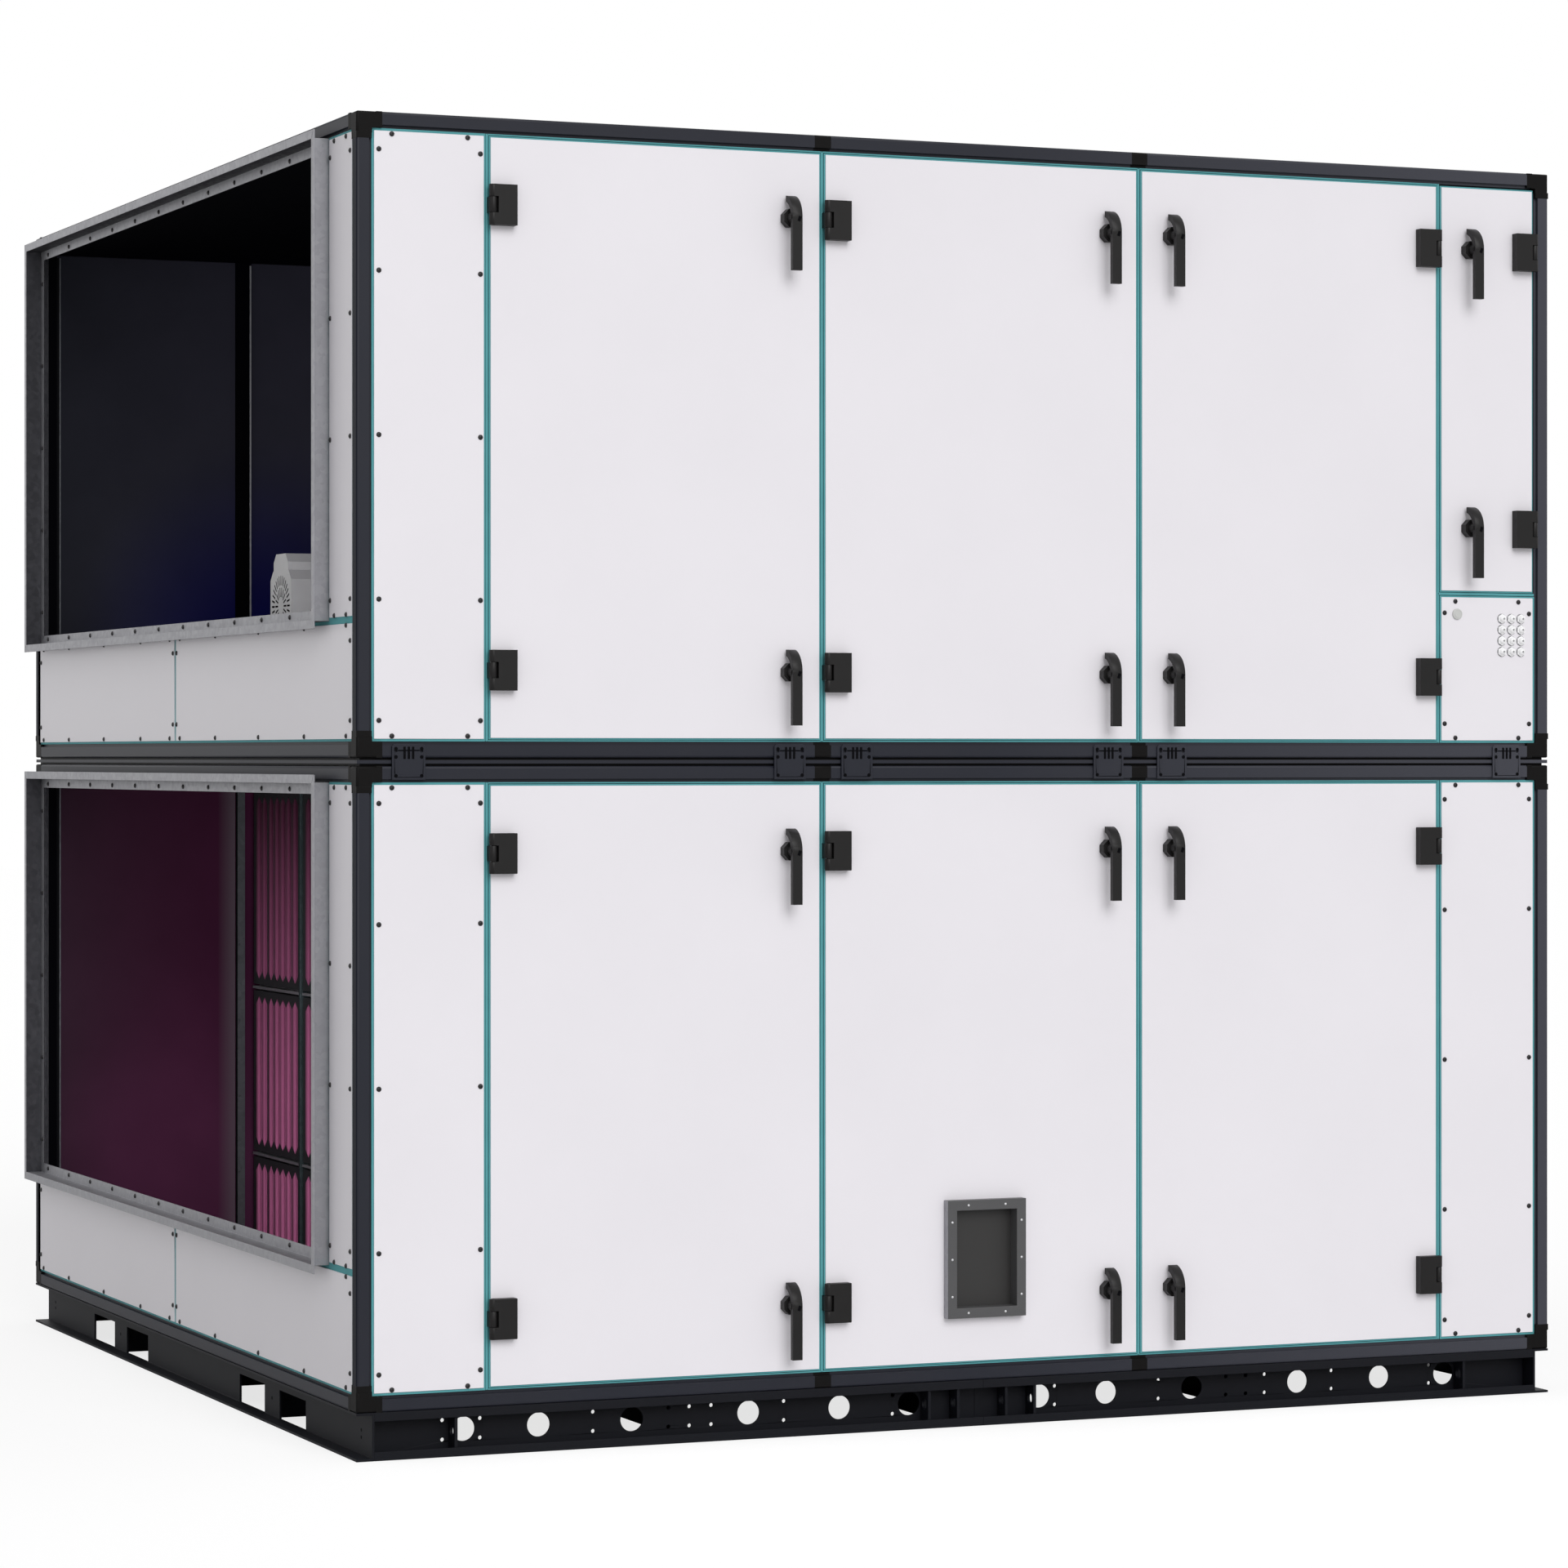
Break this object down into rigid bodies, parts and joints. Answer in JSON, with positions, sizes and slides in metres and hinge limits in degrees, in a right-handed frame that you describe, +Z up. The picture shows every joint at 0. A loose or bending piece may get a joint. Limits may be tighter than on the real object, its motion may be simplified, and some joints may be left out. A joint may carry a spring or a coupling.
{
  "type": "air handling unit",
  "caption": "Stacked air handling unit: framed casing of insulated panels on a steel base, with hinged access doors, duct collars, bag filters and a fan motor.",
  "frame": {"origin": "on the ground under the middle of the casing", "axes": "+Z up, +X along the unit from the left end to the right end, +Y from the door side to the rear"},
  "size_m": [3.439, 3.242, 3.282],
  "materials": {
    "panel_paint": "smooth powder coat",
    "frame_profile": "satin powder coat",
    "base_steel": "satin paint",
    "cap_plastic": "moulded",
    "seal_rubber": "smooth foam rubber",
    "duct_zinc": "galvanised",
    "gland_plastic": "moulded",
    "fitting_plastic": "fine moulded grain",
    "port_grey": "satin paint",
    "filter_media": "synthetic fleece",
    "motor_paint": "satin paint"
  },
  "bodies": {
    "casing": {"base_long_beams": "base_steel", "base_end_beams": "base_steel", "base_cross_beams": "base_steel", "base_ribs": "base_steel", "base_gussets": "base_steel", "lower_rails": "frame_profile", "upper_rails": "frame_profile", "frame_posts": "frame_profile", "mullions": "frame_profile", "tier_brackets": "frame_profile", "corner_caps": "cap_plastic", "rail_joint_caps": "cap_plastic", "tier_spacer": "cap_plastic", "lower_floor": "panel_paint", "lower_ceiling": "panel_paint", "upper_floor": "panel_paint", "roof": "panel_paint", "rear_panels": "panel_paint", "front_strip_panels": "panel_paint", "left_end_panels": "panel_paint", "right_end_panels": "panel_paint", "cable_entry_panel": "panel_paint", "upper_door_1": "panel_paint", "upper_door_2": "panel_paint", "upper_door_3": "panel_paint", "control_door": "panel_paint", "left_duct_flanges": "duct_zinc", "right_duct_flanges": "duct_zinc", "filter_wall": "duct_zinc", "panel_seals": "seal_rubber", "cable_glands": "gland_plastic", "upper_door_hinges": "fitting_plastic", "upper_door_handles": "fitting_plastic", "lower_hinge_knuckles": "fitting_plastic", "bag_filters": "filter_media", "fan_motor": "motor_paint", "motor_stand": "motor_paint"},
    "lower_door_1": {"lower_door_1": "panel_paint", "lower_door_1_seal": "seal_rubber", "lower_door_1_hinges": "fitting_plastic"},
    "lower_door_1_top_handle": {"lower_door_1_top_handle": "fitting_plastic"},
    "lower_door_1_bottom_handle": {"lower_door_1_bottom_handle": "fitting_plastic"},
    "lower_door_2": {"lower_door_2": "panel_paint", "lower_door_2_seal": "seal_rubber", "lower_door_2_hinges": "fitting_plastic", "door_port_flange": "port_grey"},
    "lower_door_2_top_handle": {"lower_door_2_top_handle": "fitting_plastic"},
    "lower_door_2_bottom_handle": {"lower_door_2_bottom_handle": "fitting_plastic"},
    "lower_door_3": {"lower_door_3": "panel_paint", "lower_door_3_seal": "seal_rubber", "lower_door_3_hinges": "fitting_plastic"},
    "lower_door_3_top_handle": {"lower_door_3_top_handle": "fitting_plastic"},
    "lower_door_3_bottom_handle": {"lower_door_3_bottom_handle": "fitting_plastic"}
  },
  "joints": [
    {"name": "lower_door_1_hinge", "type": "hinge", "parent": "casing", "child": "lower_door_1", "pos_m": [-1.3325, -1.603, 0.904], "axis": [0, 0, -1], "range_deg": [0, 110]},
    {"name": "lower_door_1_top_handle_turn", "type": "hinge", "parent": "lower_door_1", "child": "lower_door_1_top_handle", "pos_m": [-0.5395, -1.591, 1.475], "axis": [0, 1, 0], "range_deg": [0, 90]},
    {"name": "lower_door_1_bottom_handle_turn", "type": "hinge", "parent": "lower_door_1", "child": "lower_door_1_bottom_handle", "pos_m": [-0.5395, -1.591, 0.333], "axis": [0, 1, 0], "range_deg": [0, 90]},
    {"name": "lower_door_2_hinge", "type": "hinge", "parent": "casing", "child": "lower_door_2", "pos_m": [-0.4375, -1.603, 0.904], "axis": [0, 0, -1], "range_deg": [0, 110]},
    {"name": "lower_door_2_top_handle_turn", "type": "hinge", "parent": "lower_door_2", "child": "lower_door_2_top_handle", "pos_m": [0.3555, -1.591, 1.475], "axis": [0, 1, 0], "range_deg": [0, 90]},
    {"name": "lower_door_2_bottom_handle_turn", "type": "hinge", "parent": "lower_door_2", "child": "lower_door_2_bottom_handle", "pos_m": [0.3555, -1.591, 0.333], "axis": [0, 1, 0], "range_deg": [0, 90]},
    {"name": "lower_door_3_hinge", "type": "hinge", "parent": "casing", "child": "lower_door_3", "pos_m": [1.3325, -1.603, 0.904], "axis": [0, 0, 1], "range_deg": [0, 110]},
    {"name": "lower_door_3_top_handle_turn", "type": "hinge", "parent": "lower_door_3", "child": "lower_door_3_top_handle", "pos_m": [0.5395, -1.591, 1.475], "axis": [0, -1, 0], "range_deg": [0, 90]},
    {"name": "lower_door_3_bottom_handle_turn", "type": "hinge", "parent": "lower_door_3", "child": "lower_door_3_bottom_handle", "pos_m": [0.5395, -1.591, 0.333], "axis": [0, -1, 0], "range_deg": [0, 90]}
  ]
}
